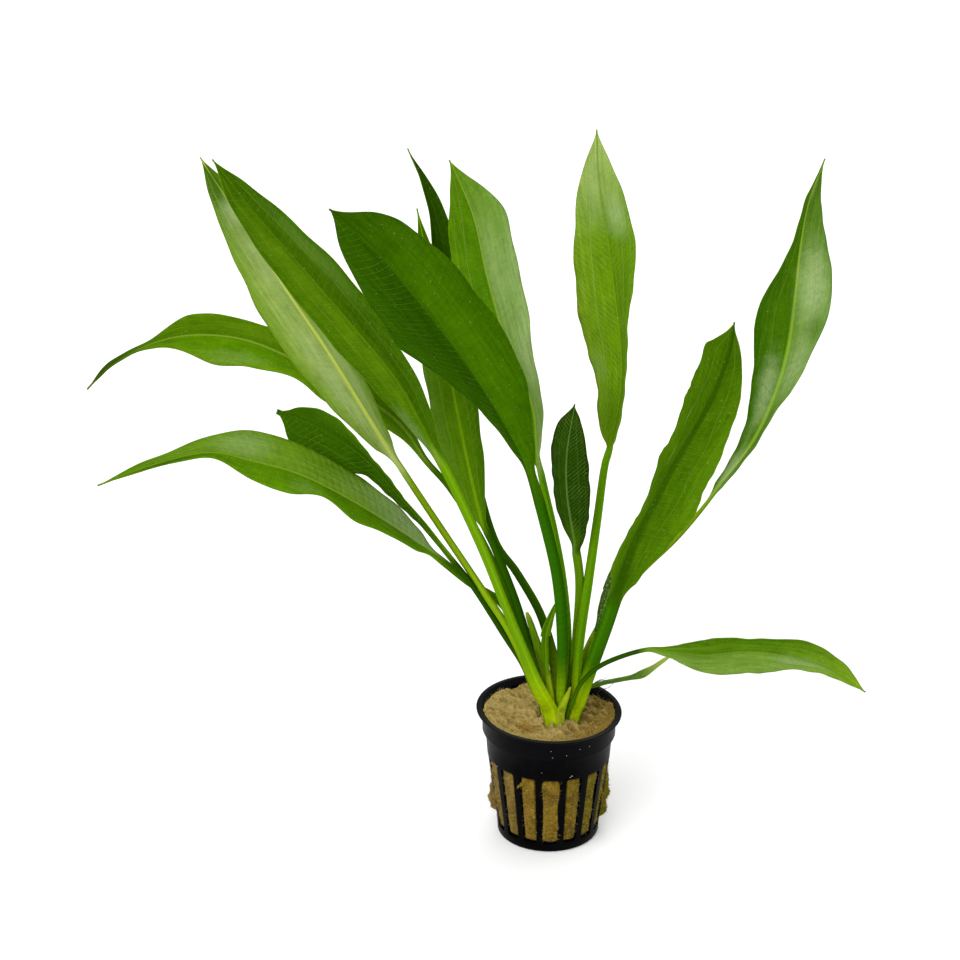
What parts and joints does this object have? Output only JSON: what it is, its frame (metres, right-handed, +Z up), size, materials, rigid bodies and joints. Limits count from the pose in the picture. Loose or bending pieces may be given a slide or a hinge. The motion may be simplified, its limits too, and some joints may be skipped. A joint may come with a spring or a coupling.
{
  "type": "potted amazon sword plant",
  "caption": "Amazon sword aquarium plant with long arching leaves on slender stalks, growing from a plug of mineral wool in a small black slotted net pot.",
  "frame": {"origin": "centre of the pot's flat underside, where it stands", "axes": "+Z up along the pot's axis; +X to the right seen from the front, along the plant's widest spread; -Y to the front"},
  "size_m": [0.2944, 0.1454, 0.2702],
  "materials": {
    "black_plastic": "satin",
    "mineral_wool": "matte",
    "crown_tissue": "satin",
    "leaf": "satin",
    "stalk": "satin"
  },
  "bodies": {
    "root": {"net_pot": "black_plastic", "mineral_wool": "mineral_wool", "crown": "crown_tissue", "leaf_left_pale": "leaf", "leaf_left_tall": "leaf", "leaf_front_broad": "leaf", "leaf_left_arched_high": "leaf", "leaf_left_arched_low": "leaf", "leaf_left_short": "leaf", "leaf_back_left": "leaf", "leaf_back_dark": "leaf", "leaf_back_glossy": "leaf", "leaf_centre_tall": "leaf", "leaf_centre_small": "leaf", "leaf_right_wavy": "leaf", "leaf_right_outer": "leaf", "leaf_right_low": "leaf", "leaf_right_sliver": "leaf", "leaf_newest": "leaf", "stalk_stub_left": "stalk", "stalk_stub_centre": "stalk", "front_sheath": "stalk", "runner": "stalk"}
  },
  "joints": []
}
